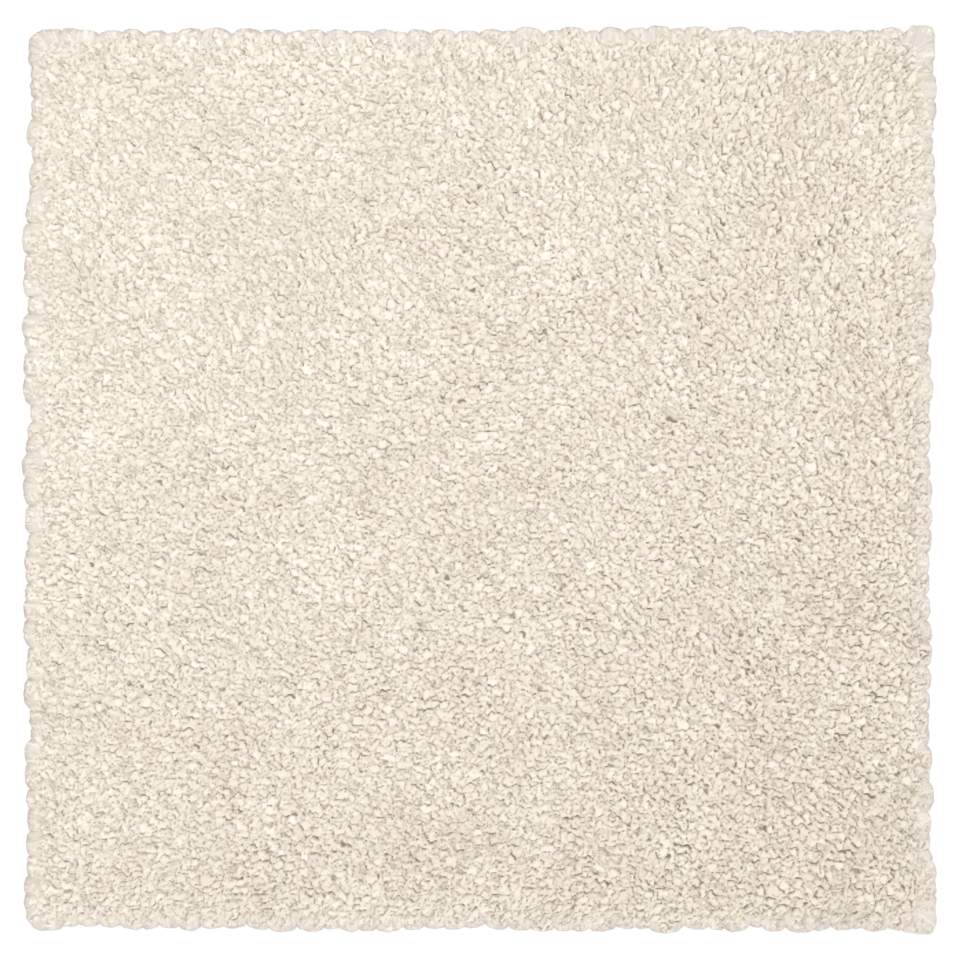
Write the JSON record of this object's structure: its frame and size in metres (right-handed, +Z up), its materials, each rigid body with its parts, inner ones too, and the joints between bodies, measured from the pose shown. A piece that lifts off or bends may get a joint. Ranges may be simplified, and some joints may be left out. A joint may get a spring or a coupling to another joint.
{
  "type": "shag rug",
  "caption": "Small square shag rug lying flat: deep uneven pile on a woven backing, with loose locks round its rim.",
  "frame": {"origin": "middle of the flat underside, on the floor", "axes": "+Z up through the pile, +X to the right and +Y away from the viewer as the rug is seen from above"},
  "size_m": [0.81, 0.8047, 0.0334],
  "materials": {
    "pile_yarn": "soft matt cream pile yarn, fluffy, with darker hollows between the tufts",
    "backing_cloth": "matt tan plain-woven backing cloth"
  },
  "bodies": {
    "root": {"backing": "backing_cloth", "pile": "pile_yarn"}
  },
  "joints": []
}
